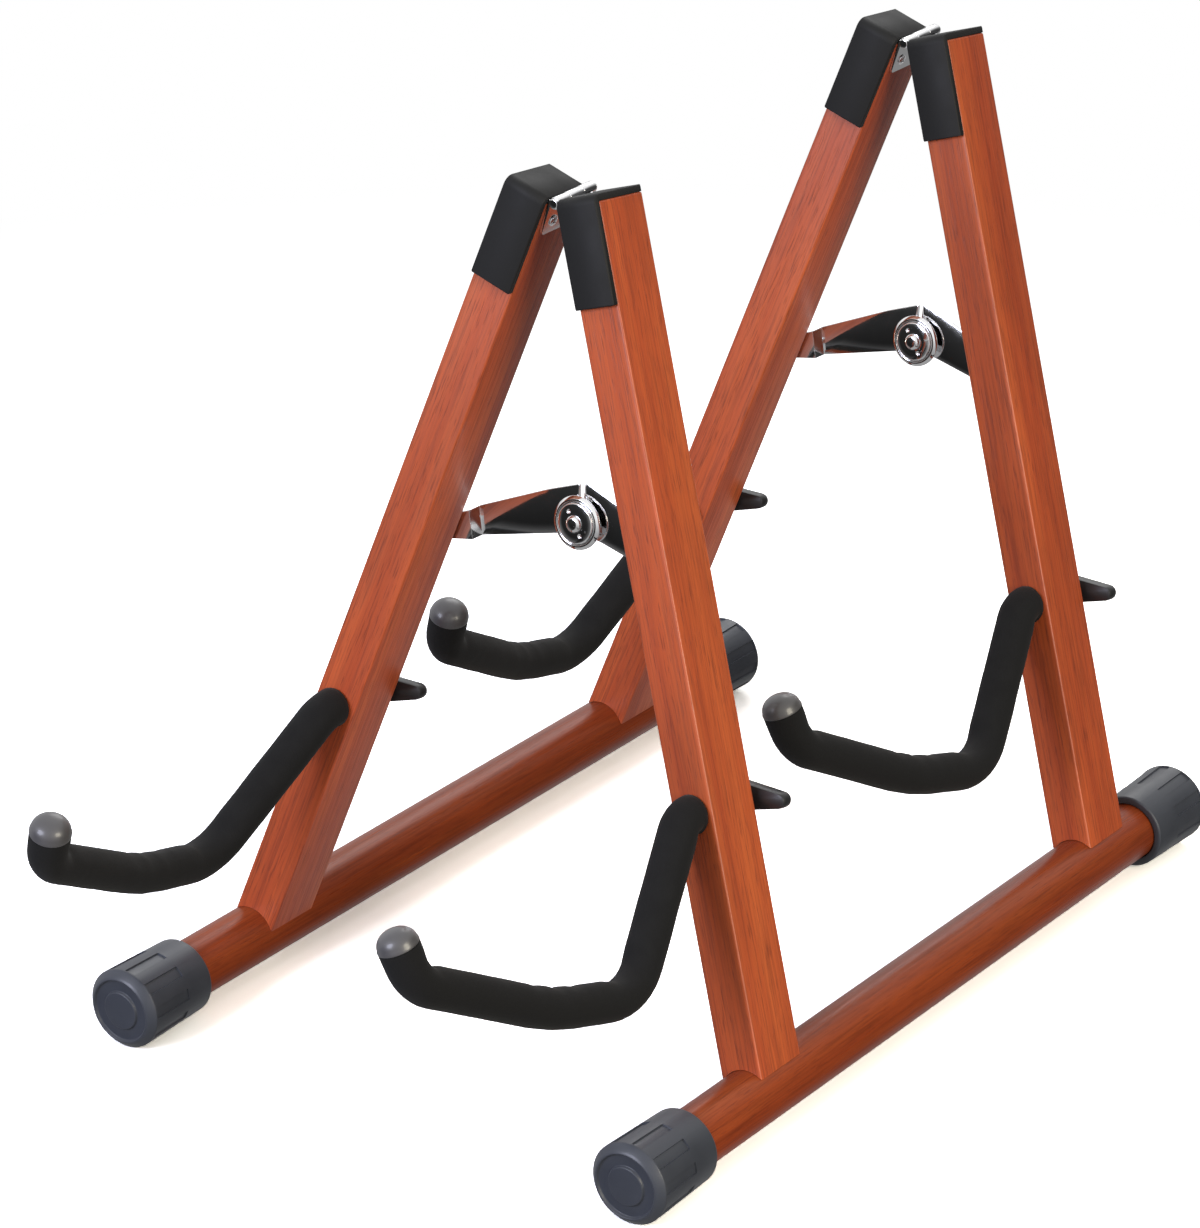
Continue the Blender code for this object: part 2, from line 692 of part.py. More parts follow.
def main():
    for old in list(bpy.data.objects):
        bpy.data.objects.remove(old, do_unlink=True)
    for side_name, side in SIDES:
        make_rail(side_name, side)
        make_cap(f"front_{side_name}", side, RAIL_FRONT + 45.0, -1.0)
        make_cap(f"rear_{side_name}", side, RAIL_REAR[side_name] - 45.0, 1.0)
        for pair_name, distance in PAIRS:
            name = f"{pair_name}_{side_name}"
            post = Post(side, distance)
            make_post(name, post)
            make_rail_screw(name, post)
            make_pad(name, post)
            make_hook(name, post)
            make_wing_nut(name, post)
    for pair_name, distance in PAIRS:
        make_hinge(pair_name, distance)
        make_stay(pair_name, distance)


main()
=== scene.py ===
"""The looks of a folding wooden guitar rack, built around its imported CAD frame.

Lengths in the shape functions are millimetres in each piece's own frame. Each piece's place comes from
the frame's joints: a post's frame has x across, y back through its depth and z up its length.
"""

import json
import math

import bmesh
import bpy
from mathutils import Matrix, Vector, noise


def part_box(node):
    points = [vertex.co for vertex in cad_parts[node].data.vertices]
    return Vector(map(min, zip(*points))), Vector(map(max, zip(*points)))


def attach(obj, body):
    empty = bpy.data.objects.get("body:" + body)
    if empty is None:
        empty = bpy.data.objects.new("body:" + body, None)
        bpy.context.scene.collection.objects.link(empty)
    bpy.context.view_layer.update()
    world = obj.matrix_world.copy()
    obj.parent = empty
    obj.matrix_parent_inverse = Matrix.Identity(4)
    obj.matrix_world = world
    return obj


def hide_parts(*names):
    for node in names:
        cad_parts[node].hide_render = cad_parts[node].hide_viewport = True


MM = 0.001

PAIRS = ("front", "rear")
SIDES = ("left", "right")

# Posts and rails, as in the CAD part
HALF_WIDTH = 12.4
HALF_DEPTH = 17.7
HOOK_HEIGHT = 146.0
POST_LENGTH = 455.5
POST_EDGE = 1.1
POST_FOOT_TOP = 60.0  # the foot's hollow is all below this height
ROD_HOLE = 3.8
RAIL_RADIUS = 16.0
RAIL_EDGE = 1.2
RAIL_HOLE = 2.7
RAIL_COUNTERBORE = 5.8
RAIL_SCREW_SEAT = 12.0  # below the rail's middle
GAP = 0.3

# Hooks: a corner is (forward, down, radius of the bend), and the tip is (forward, down)
ROD_RADIUS = 3.5
FOAM_RADIUS = 10.5
SLEEVE_BORE = 5.8  # wider than the rod, which takes the bends more tightly
HOOK_CORNERS = ((9.0, 0.0, 17.0), (72.5, 75.5, 34.0), (135.0, 65.5, 150.0), (228.0, 28.0, 23.0))
HOOK_TIP = (234.0, 9.0)

# Caps
CAP_RADIUS = 22.0
CAP_MOUTH_RADIUS = 20.6
CAP_LENGTH = 51.0
CAP_PANELS = 10
POCKET_START = 19.5
POCKET_SHARE = 0.47
POCKET_DEPTH = 0.9

# Pads
PAD_THICKNESS = 3.6
PAD_GAP = 0.05
PAD_LENGTH = 52.0
PAD_ROUNDING = 0.5

# Wing nuts
HUB_RADIUS = 7.6
WING_TIP_RADIUS = 4.2
WING_REACH = 22.8
WING_TILT = 8.0

# Hinges
KNUCKLE_RADIUS = 3.2
PIN_RADIUS = 1.6
LEAF_THICKNESS = 1.6
HINGE_LENGTH = 32.0
LEAF_DROP = 20.0
SCREW_DROP = 13.0
HINGE_SCREWS = (-9.0, 9.0)

# Stays
STAY_THICKNESS = 2.0
STAY_LIFT = 1.7
STAY_PLANES = {"left": 6.8, "right": 9.6}
DISC_RADIUS = 14.5
RIVET_HOLE = 3.0
RIVET_WASHER = 13.1  # from the elbow, along the rivet, to the middle of its washer

# Brightness of the floor and surroundings, and the directions that look dark in the metal
FLOOR_SEEN = 2.5
FLOOR_BOUNCE = 0.22
SKY_LOW = 0.10
SKY_HIGH = 0.55
GLOSS_SKY = 1.1
GLOSS_UNDER = 0.4
DARK_PATCH = (-0.53, -0.83, -0.12)
DARK_SIDE = (0.75, 0.65, -0.05)

# Camera, in metres, degrees and millimetres of lens, and the point that each light faces
CAMERA_PLACE = (1.46542, -2.09911, 1.31312)
CAMERA_PITCH = 66.631
CAMERA_TURN = 35.173
CAMERA_LENS = 156.77
LIT_POINT = (0.0, 0.0, 0.2)


# ---- shapes


def rounded(corners, step=12.0, closed=False):
    """Points of a flat outline of (x, y, radius) corners, with an arc at each corner that has a radius."""
    points = []
    count = len(corners)
    for i, (corner_x, corner_y, radius) in enumerate(corners):
        here = Vector((corner_x, corner_y))
        if not radius or (not closed and i in (0, count - 1)):
            points.append(here)
            continue
        back = (Vector(corners[i - 1][:2]) - here).normalized()
        ahead = (Vector(corners[(i + 1) % count][:2]) - here).normalized()
        opening = back.angle(ahead)
        trim = radius / math.tan(opening / 2)
        middle = here + (back + ahead).normalized() * radius / math.sin(opening / 2)
        start = here + back * trim - middle
        turn = start.angle_signed(here + ahead * trim - middle)
        steps = max(2, round(abs(math.degrees(turn)) / step))
        for k in range(steps + 1):
            cosine, sine = math.cos(-turn * k / steps), math.sin(-turn * k / steps)
            x = start.x * cosine - start.y * sine
            y = start.x * sine + start.y * cosine
            points.append(middle + Vector((x, y)))
    return points


def ring_faces(rings, around, loop=False, caps=True):
    """Faces between rings of equally many points. A loop joins the last ring to the first one."""
    faces = []
    for row in range(rings if loop else rings - 1):
        low, high = row * around, ((row + 1) % rings) * around
        for i in range(around):
            j = (i + 1) % around
            faces.append((low + i, low + j, high + j, high + i))
    if caps and not loop:
        faces.append(tuple(range(around))[::-1])
        faces.append(tuple((rings - 1) * around + i for i in range(around)))
    return faces


def lathe(profile, around=48, loop=False):
    """A turned solid about z, from (height, radius) points. A loop makes a ring with a hole through it."""
    points = []
    for height, radius in profile:
        for i in range(around):
            angle = 2 * math.pi * i / around
            points.append(Vector((radius * math.cos(angle), radius * math.sin(angle), height)))
    return points, ring_faces(len(profile), around, loop=loop)


def rounded_lathe(corners, step, around, loop=False):
    """A turned solid from the (height, radius, rounding) corners of its profile."""
    return lathe([tuple(point) for point in rounded(corners, step, closed=loop)], around, loop)


def slab(outline, low, high):
    """A flat plate between two heights, from an outline of (x, y) points."""
    points = [Vector((x, y, z)) for z in (low, high) for x, y in outline]
    return points, ring_faces(2, len(outline))


def joined(*shapes):
    """Several shapes as one."""
    points, faces = [], []
    for more, their_faces in shapes:
        start = len(points)
        points += more
        faces += [tuple(start + i for i in face) for face in their_faces]
    return points, faces


def moved(shape, matrix):
    return [matrix @ Vector(point) for point in shape[0]], shape[1]


def mesh_of(name, shape, smooth=32.0):
    """A mesh in metres with its faces turned outward and every edge over the smooth angle kept sharp."""
    mesh = bpy.data.meshes.new(name)
    mesh.from_pydata([Vector(point) * MM for point in shape[0]], [], shape[1])
    work = bmesh.new()
    work.from_mesh(mesh)
    bmesh.ops.recalc_face_normals(work, faces=work.faces)
    work.to_mesh(mesh)
    work.free()
    mesh.shade_smooth()
    mesh.set_sharp_from_angle(angle=math.radians(smooth))
    return mesh


def worked(name, shape, cutters=(), additions=(), bevel=0.0, smooth=32.0):
    """The mesh after its Booleans and a bevel of its sharp edges, applied."""
    made = bpy.data.objects.new(name + "_work", mesh_of(name + "_work", shape))
    helpers = []
    bpy.context.scene.collection.objects.link(made)
    for operation, others in (("UNION", additions), ("DIFFERENCE", cutters)):
        for number, other in enumerate(others):
            helper_name = f"{name}_{operation}_{number}"
            helper = bpy.data.objects.new(helper_name, mesh_of(helper_name, other))
            bpy.context.scene.collection.objects.link(helper)
            helpers.append(helper)
            boolean = made.modifiers.new(helper_name, "BOOLEAN")
            boolean.operation = operation
            boolean.solver = "EXACT"
            boolean.object = helper
    if bevel:
        rounding = made.modifiers.new("edges", "BEVEL")
        rounding.width = bevel * MM
        rounding.segments = 2
        rounding.limit_method = "ANGLE"
        rounding.angle_limit = math.radians(40)
        rounding.use_clamp_overlap = True
    bpy.context.view_layer.update()
    graph = bpy.context.evaluated_depsgraph_get()
    mesh = bpy.data.meshes.new_from_object(made.evaluated_get(graph))
    mesh.name = name
    for used in (made, *helpers):
        bpy.data.objects.remove(used, do_unlink=True)
    mesh.shade_smooth()
    mesh.set_sharp_from_angle(angle=math.radians(smooth))
    return mesh


def show(name, mesh, matrix, body, stands_for, look):
    """Puts a finished piece in place, on its body, with its material, and hides the CAD nodes that it
    stands for.
    """
    made = bpy.data.objects.new(name, mesh)
    bpy.context.scene.collection.objects.link(made)
    mesh.materials.clear()
    mesh.materials.append(look)
    made.matrix_world = matrix
    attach(made, body)
    if stands_for:
        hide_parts(*stands_for)
    return made


def frame_of(origin, x, y, z):
    """The matrix of a frame with that origin and those axes."""
    matrix = Matrix.Identity(4)
    for column, axis in enumerate((x, y, z)):
        for row in range(3):
            matrix[row][column] = axis[row]
    matrix.translation = origin
    return matrix


def turned_frame(origin, axis, near=(1.0, 0.0, 0.0)):
    """A frame with z along the axis and x as near as it can be to the given direction."""
    z = Vector(axis).normalized()
    x = Vector(near)
    x = (x - z * x.dot(z)).normalized()
    return frame_of(origin, x, z.cross(x), z)


# ---- places, from the CAD frame's joints


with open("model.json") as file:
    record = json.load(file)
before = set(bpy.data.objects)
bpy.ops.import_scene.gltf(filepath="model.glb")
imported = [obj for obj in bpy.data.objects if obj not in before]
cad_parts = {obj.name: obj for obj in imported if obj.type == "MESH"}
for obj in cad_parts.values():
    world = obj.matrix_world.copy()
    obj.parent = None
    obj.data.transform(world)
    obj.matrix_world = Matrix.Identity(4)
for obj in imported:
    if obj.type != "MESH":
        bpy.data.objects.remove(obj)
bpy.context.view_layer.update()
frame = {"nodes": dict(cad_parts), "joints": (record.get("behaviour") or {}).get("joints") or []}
joints = {joint["name"]: joint for joint in frame["joints"]}


def joint_point(name):
    return Vector(joints[name]["pos_m"])


class Post:
    """One post's frame, worked out from the joints on its rear face: z up the post, y to its rear face."""

    def __init__(self, pair, side):
        self.name = f"{pair}_{side}"
        self.pair = pair
        self.side = -1 if side == "left" else 1
        self.body = f"{side}_frame"
        nut = joint_point(f"nut_turn_{self.name}")
        stay = joint_point(f"stay_fold_{self.name}")
        self.up = (stay - nut).normalized()
        self.back = Vector(joints[f"nut_turn_{self.name}"]["axis"]).normalized()
        self.across = self.back.cross(self.up).normalized()
        self.foot = nut - self.back * HALF_DEPTH * MM - self.up * HOOK_HEIGHT * MM
        self.matrix = frame_of(self.foot, self.across, self.back, self.up)

    def at(self, across, back, up):
        return self.matrix @ (Vector((across, back, up)) * MM)

    def turned(self, across, back, up, axis):
        """A frame in metres at that point of the post, with z along the axis."""
        return turned_frame(self.at(across, back, up), axis, self.across)


posts = {f"{pair}_{side}": Post(pair, side) for pair in PAIRS for side in SIDES}
fold_axis = joint_point("fold")


# ---- materials


class Look:
    """A node material, built one node at a time from object coordinates."""

    def __init__(self, name):
        self.made = bpy.data.materials.new(name)
        self.made.use_nodes = True
        self.nodes = self.made.node_tree.nodes
        self.shader = self.nodes["Principled BSDF"]
        self.place = self.node("ShaderNodeTexCoord").outputs["Object"]

    def link(self, start, end):
        self.made.node_tree.links.new(start, end)

    def node(self, kind, inputs=None, **settings):
        made = self.nodes.new(kind)
        for key, value in settings.items():
            setattr(made, key, value)
        for key, value in (inputs or {}).items():
            if isinstance(value, bpy.types.NodeSocket):
                self.link(value, made.inputs[key])
            else:
                made.inputs[key].default_value = value
        return made

    def stretched(self, scale, shift=(0.0, 0.0, 0.0)):
        inputs = {"Vector": self.place, "Scale": scale, "Location": shift}
        return self.node("ShaderNodeMapping", inputs).outputs["Vector"]

    def noise(self, where, scale, detail=2.0, rough=0.5):
        inputs = {"Vector": where, "Scale": scale, "Detail": detail, "Roughness": rough}
        return self.node("ShaderNodeTexNoise", inputs).outputs["Fac"]

    def ramp(self, value, stops):
        made = self.node("ShaderNodeValToRGB", {"Fac": value})
        ramp = made.color_ramp
        while len(ramp.elements) < len(stops):
            ramp.elements.new(0.5)
        for element, (position, colour) in zip(ramp.elements, stops):
            element.position = position
            element.color = (*colour, 1.0) if isinstance(colour, tuple) else (colour,) * 3 + (1.0,)
        return made.outputs["Color"]

    def mix(self, share, first, second, blend="MIX"):
        made = self.node("ShaderNodeMix", data_type="RGBA", blend_type=blend)
        for index, value in ((0, share), (6, first), (7, second)):
            if isinstance(value, bpy.types.NodeSocket):
                self.link(value, made.inputs[index])
            else:
                made.inputs[index].default_value = (*value, 1.0) if isinstance(value, tuple) else value
        return made.outputs[2]

    def math(self, operation, first, second):
        made = self.node("ShaderNodeMath", operation=operation)
        for index, value in ((0, first), (1, second)):
            if isinstance(value, bpy.types.NodeSocket):
                self.link(value, made.inputs[index])
            else:
                made.inputs[index].default_value = value
        return made.outputs[0]

    def bump(self, height, distance, strength=1.0):
        inputs = {"Height": height, "Distance": distance * MM, "Strength": strength}
        self.link(self.node("ShaderNodeBump", inputs).outputs["Normal"], self.shader.inputs["Normal"])

    def set(self, **values):
        for key, value in values.items():
            self.shader.inputs[key.replace("_", " ")].default_value = value


def wood_look(name, shift, dark=1.0, roughness=0.40, coat=0.2, specular=0.5):
    """Reddish stained hardwood with the grain along z: soft bands, fine fibres and short dark pores."""
    look = Look(name)
    bands = look.noise(look.stretched((62.0, 62.0, 3.2), shift), 1.0, 3.0, 0.55)
    fibres = look.noise(look.stretched((820.0, 820.0, 20.0), shift), 1.0, 4.0, 0.6)
    pores = look.noise(look.stretched((1500.0, 1500.0, 75.0), shift), 1.0, 2.0, 0.5)
    patches = look.noise(look.stretched((18.0, 18.0, 6.0), shift), 1.0, 2.0, 0.5)
    deep = tuple(c * dark for c in (0.375, 0.060, 0.019))
    warm = tuple(c * dark for c in (0.455, 0.083, 0.024))
    light = tuple(c * dark for c in (0.54, 0.113, 0.031))
    pore = (0.13, 0.024, 0.010)
    tone = look.ramp(bands, ((0.28, deep), (0.50, warm), (0.74, light)))
    grain = look.ramp(fibres, ((0.34, 0.66), (0.50, 1.0), (0.68, 1.16)))
    tone = look.mix(0.75, tone, grain, "MULTIPLY")
    blotch = look.ramp(patches, ((0.35, 0.84), (0.65, 1.08)))
    tone = look.mix(0.8, tone, blotch, "MULTIPLY")
    streak = look.ramp(pores, ((0.57, 0.0), (0.68, 1.0)))
    tone = look.mix(look.math("MULTIPLY", streak, 0.5), tone, pore)
    look.link(tone, look.shader.inputs["Base Color"])
    uneven = look.ramp(fibres, ((0.3, roughness * 1.15), (0.7, roughness * 0.85)))
    look.link(uneven, look.shader.inputs["Roughness"])
    height = look.math("SUBTRACT", fibres, look.math("MULTIPLY", streak, 0.9))
    look.bump(height, 0.05, 0.7)
    look.set(Coat_Weight=coat, Coat_Roughness=0.25, IOR=1.45, Specular_IOR_Level=specular)
    return look.made


def rubber_look(name, colour, roughness=0.55, grain=0.03):
    """Moulded rubber or plastic: a fine pebbled surface with slightly uneven colour and gloss."""
    look = Look(name)
    pebbles = look.noise(look.stretched((1.0, 1.0, 1.0)), 1900.0, 3.0, 0.6)
    clouds = look.noise(look.stretched((1.0, 1.0, 1.0)), 55.0, 3.0, 0.5)
    darker = tuple(c * 0.86 for c in colour)
    lighter = tuple(c * 1.14 for c in colour)
    look.link(look.mix(clouds, darker, lighter), look.shader.inputs["Base Color"])
    shine = look.ramp(clouds, ((0.3, roughness - 0.06), (0.7, roughness + 0.06)))
    look.link(shine, look.shader.inputs["Roughness"])
    look.bump(pebbles, grain, 0.6)
    look.set(IOR=1.47)
    return look


def foam_look(name):
    """Closed-cell foam: near black, matt, with tiny open cells whose pits get painted shade in the colour,
    and a dusty sheen at grazing angles.
    """
    look = Look(name)
    cells = look.node(
        "ShaderNodeTexVoronoi", {"Vector": look.place, "Scale": 1500.0, "Randomness": 1.0}
    ).outputs["Distance"]
    clouds = look.noise(look.stretched((1.0, 1.0, 1.0)), 90.0, 3.0, 0.6)
    darker, lighter = (0.0045, 0.0045, 0.0048), (0.0085, 0.0083, 0.0088)
    tone = look.mix(clouds, darker, lighter)
    # Painted shade: the colour darkens towards the middle of each cell, where the bump sinks a pit.
    painted_pit_shade = look.ramp(cells, ((0.05, 0.62), (0.35, 1.0)))
    look.link(look.mix(0.7, tone, painted_pit_shade, "MULTIPLY"), look.shader.inputs["Base Color"])
    look.link(look.ramp(clouds, ((0.3, 0.82), (0.7, 0.94))), look.shader.inputs["Roughness"])
    look.bump(cells, 0.12, 0.5)
    look.set(Specular_IOR_Level=0.22, Sheen_Weight=0.04, Sheen_Roughness=0.5)
    return look.made


def metal_look(name, colour, roughness, wear=0.05):
    """Plated or bare steel with faint brushing and small differences in gloss."""
    look = Look(name)
    lines = look.noise(look.stretched((240.0, 240.0, 2600.0)), 1.0, 2.0, 0.5)
    clouds = look.noise(look.stretched((1.0, 1.0, 1.0)), 120.0, 3.0, 0.55)
    duller = tuple(c * (1.0 - wear) for c in colour)
    look.link(look.mix(clouds, duller, colour), look.shader.inputs["Base Color"])
    shine = look.ramp(clouds, ((0.35, roughness * 0.7), (0.7, roughness * 1.35)))
    look.link(shine, look.shader.inputs["Roughness"])
    look.bump(lines, 0.004, 0.35)
    look.set(Metallic=1.0)
    return look.made


def plastic_look(name, colour, roughness, coat=0.0):
    """Moulded plastic, smoother than the rubber and with a clear gloss over it if coated."""
    look = rubber_look(name, colour, roughness, 0.015)
    look.set(Coat_Weight=coat, Coat_Roughness=0.2)
    return look.made


rubber = rubber_look("cap_rubber", (0.044, 0.049, 0.063), 0.4, 0.03).made
pad_look = rubber_look("pad_rubber", (0.0095, 0.0095, 0.0098), 0.62, 0.05)
pad_look.set(Specular_IOR_Level=0.28)
pad_rubber = pad_look.made
foam = foam_look("foam")
chrome = metal_look("chrome", (0.83, 0.83, 0.84), 0.07)
steel = metal_look("zinc_steel", (0.55, 0.55, 0.56), 0.26, 0.15)
tip_plastic = plastic_look("tip_plastic", (0.072, 0.070, 0.074), 0.4, 0.4)
nut_plastic = plastic_look("nut_plastic", (0.016, 0.016, 0.018), 0.38)


# ---- wood


def post_section(inset):
    """The post's cross-section from its front left corner round, as (x, y) points, front half first."""
    radius = max(POST_EDGE - inset, 0.1)
    half, depth = HALF_WIDTH - inset, HALF_DEPTH - inset
    corners = [(-half, 0.0, 0.0), (-half, -depth, radius), (half, -depth, radius), (half, 0.0, 0.0)]
    arc = rounded(corners, step=22.0)
    side = len(arc) // 2
    left, right = arc[1:side], arc[side:-1]
    between = 14
    front = [left[-1].lerp(right[0], (i + 1) / between) for i in range(between - 1)]
    half_outline = left + front + right
    rear = [Vector((x, -y)) for x, y in reversed(half_outline)]
    return half_outline + rear


def make_post(post):
    """A square post whose foot is hollowed to sit on the round rail."""
    lean = math.asin(post.up.y)
    splay = math.asin(abs(post.up.x) / math.cos(lean))
    section = post_section(0.0)
    hollow = RAIL_RADIUS + GAP
    around = len(section)
    points = []
    for x, y in section:
        height = (math.sqrt(hollow * hollow - x * x) + y * math.sin(lean)) / math.cos(lean)
        points.append(Vector((x, y, height)))
    for x, y in section:
        points.append(Vector((x, y, POST_FOOT_TOP)))
    steps = 4
    for k in range(steps + 1):
        angle = math.pi / 2 * k / steps
        inset = POST_EDGE * (1 - math.cos(angle))
        top = POST_LENGTH - POST_EDGE * (1 - math.sin(angle))
        points += [Vector((x, y, top)) for x, y in post_section(inset)]
    faces = ring_faces(steps + 3, around, caps=False)
    faces.append(tuple((steps + 2) * around + i for i in range(around)))
    for i in range(around // 2 - 1):
        faces.append((i, i + 1, around - 2 - i, around - 1 - i))
    bolt = lathe(((-25.0, ROD_HOLE), (25.0, ROD_HOLE)), 32)
    lie_back = Matrix.Translation((0.0, 0.0, HOOK_HEIGHT)) @ Matrix.Rotation(-math.pi / 2, 4, "X")
    mesh = worked("wood_post_" + post.name, (points, faces), [moved(bolt, lie_back)], smooth=30)
    shift = (3.7 * post.side, 11.0 if post.pair == "front" else 27.0, 2.0 + splay)
    look = wood_look("wood_" + post.name, shift)
    show("wood_post_" + post.name, mesh, post.matrix, post.body, ["post_" + post.name], look)


def make_rail(side):
    """A round rail, with a counterbored hole under each post for its screw."""
    low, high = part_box("rail_" + side)
    middle = (low + high) / 2
    length = (high.y - low.y) / MM
    start = Vector((middle.x, low.y, middle.z))
    matrix = frame_of(start, Vector((1, 0, 0)), Vector((0, 0, -1)), Vector((0, 1, 0)))
    outline = [
        (0.0, 0.3, 0.0),
        (0.0, RAIL_RADIUS, RAIL_EDGE),
        (length, RAIL_RADIUS, RAIL_EDGE),
        (length, 0.3, 0.0),
    ]
    body = rounded_lathe(outline, 25.0, 72)
    ledge = RAIL_SCREW_SEAT - 0.6
    steps = [(-24.0, RAIL_COUNTERBORE), (-ledge, RAIL_COUNTERBORE), (-ledge, RAIL_HOLE), (24.0, RAIL_HOLE)]
    holes = []
    for pair in PAIRS:
        post = posts[f"{pair}_{side}"]
        splayed = Vector((post.up.x, 0.0, post.up.z)).normalized()
        place = matrix.inverted() @ turned_frame(post.foot, splayed)
        place.translation = place.translation / MM
        holes.append(moved(lathe(steps, 32), place))
    mesh = worked("wood_rail_" + side, body, [joined(*holes)], smooth=30)
    shift = (7.0 if side == "left" else 19.0, 5.0, 1.0)
    look = wood_look("wood_rail_" + side, shift, dark=0.58, roughness=0.3, coat=0.04, specular=0.2)
    show("wood_rail_" + side, mesh, matrix, side + "_frame", ["rail_" + side], look)


# ---- rubber, pads and foam


def cap_angles():
    """The angles round a cap with whether each is in a pocket, with close pairs at the pockets' walls."""
    angles = []
    for panel in range(CAP_PANELS):
        for share, sunk in (
            (0.0, False),
            (0.012, True),
            (0.16, True),
            (0.31, True),
            (POCKET_SHARE - 0.012, True),
            (POCKET_SHARE, False),
            (0.6, False),
            (0.73, False),
            (0.87, False),
        ):
            angles.append((2 * math.pi * (panel + share) / CAP_PANELS, sunk))
    return angles


def make_cap(pair, side):
    """A rubber cap: a smooth collar, a ring of sunk panels, a rounded rim, and a ringed end face."""
    name = f"{pair}_{side}"
    low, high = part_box("end_cap_" + name)
    forward = -1.0 if pair == "front" else 1.0
    mouth = high.y if pair == "front" else low.y
    origin = Vector(((low.x + high.x) / 2, mouth, (low.z + high.z) / 2))
    grow = (CAP_RADIUS - CAP_MOUTH_RADIUS) / (CAP_LENGTH - 6.0)
    socket_end, rim = CAP_LENGTH - 5.8, CAP_LENGTH - 5.0
    inside = [
        (socket_end, 0.4, 0.0),
        (socket_end, RAIL_RADIUS + 0.5, 0.8),
        (0.0, RAIL_RADIUS + 0.5, 0.6),
        (0.0, CAP_MOUTH_RADIUS, 1.3),
        (POCKET_START, CAP_MOUTH_RADIUS + POCKET_START * grow, 0.0),
    ]
    end = [
        (rim, CAP_RADIUS - 0.05, 0.0),
        (rim + 1.0, CAP_RADIUS - 0.1, 0.9),
        (CAP_LENGTH - 0.3, CAP_RADIUS - 3.6, 3.2),
        (CAP_LENGTH, 17.3, 0.5),
        (CAP_LENGTH - 1.5, 16.5, 0.5),
        (CAP_LENGTH - 1.5, 10.9, 0.5),
        (CAP_LENGTH - 0.1, 10.2, 0.7),
        (CAP_LENGTH - 0.4, 0.4, 0.0),
    ]
    rows = [(point.x, point.y, 0.0) for point in rounded(inside, 20.0)]
    rows.append((POCKET_START + 0.25, CAP_MOUTH_RADIUS + POCKET_START * grow, 1.0))
    rows.append((rim - 0.25, CAP_RADIUS - 0.05, 1.0))
    rows += [(point.x, point.y, 0.0) for point in rounded(end, 20.0)]
    angles = cap_angles()
    points = []
    for along, radius, share in rows:
        for angle, sunk in angles:
            reach = radius - (POCKET_DEPTH * share if sunk else 0.0)
            points.append(Vector((reach * math.cos(angle), reach * math.sin(angle), along)))
    shape = (points, ring_faces(len(rows), len(angles)))
    matrix = turned_frame(origin, (0.0, forward, 0.0))
    mesh = mesh_of("rubber_cap_" + name, shape, smooth=24)
    show("rubber_cap_" + name, mesh, matrix, side + "_frame", ["end_cap_" + name], rubber)


def make_pad(post):
    """A rubber sheet folded over the top of the post and down its front, with softly rounded edges."""
    front, top = -HALF_DEPTH - PAD_GAP, POST_LENGTH + PAD_GAP
    low = top - PAD_LENGTH
    corners = [
        (front, low, 0.35),
        (front, top, 0.9),
        (HALF_DEPTH, top, 0.35),
        (HALF_DEPTH, top + PAD_THICKNESS, 0.7),
        (front - PAD_THICKNESS, top + PAD_THICKNESS, PAD_THICKNESS + 1.2),
        (front - PAD_THICKNESS, low, 0.7),
    ]
    outline = rounded(corners, 10.0, closed=True)
    inner = rounded(pad_inset(corners), 10.0, closed=True)
    half = HALF_WIDTH - 0.1
    full = half - PAD_ROUNDING
    rows = [(-half, inner), (-full, outline), (full, outline), (half, inner)]
    points = [Vector((x, y, z)) for x, ring in rows for y, z in ring]
    shape = (points, ring_faces(4, len(outline)))
    mesh = mesh_of("pad_sheet_" + post.name, shape, smooth=60)
    made = show(
        "pad_sheet_" + post.name, mesh, post.matrix, post.body, ["pad_" + post.name], pad_rubber
    )


def pad_inset(corners):
    """The pad's outline drawn in on its outer sides, for the rounded long edges."""
    moves = ((0, 1), (0, 0), (-1, 0), (-1, -1), (1, -1), (1, 1))
    drawn = []
    for (x, y, radius), (dx, dy) in zip(corners, moves):
        if dx or dy:
            radius = max(radius - PAD_ROUNDING * 0.4, 0.2)
        drawn.append((x + PAD_ROUNDING * dx, y + PAD_ROUNDING * dy, radius))
    return drawn


def hook_line():
    """The hook's centre line as (forward, down) points, fine enough for a smooth sleeve."""
    corners = [(0.0, 0.0, 0.0), *HOOK_CORNERS, (*HOOK_TIP, 0.0)]
    coarse = rounded(corners, 7.0)
    line = [coarse[0]]
    for point in coarse[1:]:
        run = (point - line[-1]).length
        pieces = max(1, round(run / 5.0))
        start = line[-1].copy()
        line += [start.lerp(point, (k + 1) / pieces) for k in range(pieces)]
    return line


def sleeve_rings(line, radius, around, pinch=0.0):
    """Rings square to the line. A pinch draws in the inner side of each bend and makes the skin uneven."""
    rings = []
    for i, here in enumerate(line):
        before, after = line[max(i - 1, 0)], line[min(i + 1, len(line) - 1)]
        along = (after - before).normalized()
        square = Vector((-along.y, along.x))
        bend = 0.0
        if 0 < i < len(line) - 1:
            first, second = (here - before).normalized(), (after - here).normalized()
            bend = first.cross(second) / max((after - before).length / 2, 0.5)
        ring = []
        for k in range(around):
            angle = 2 * math.pi * k / around
            cosine, sine = math.cos(angle), math.sin(angle)
            inner = max(0.0, cosine * (1.0 if bend > 0 else -1.0))
            drawn = pinch * min(abs(bend) / 0.035, 1.0) * inner * inner
            wave = 0.16 * noise.noise(Vector((i * 0.35, 2.2 * cosine, 2.2 * sine)))
            reach = radius - drawn + (wave if pinch else 0.0)
            flat = here + square * reach * cosine
            ring.append(Vector((reach * sine, -flat.x, -flat.y)))
        rings.append(ring)
    return rings


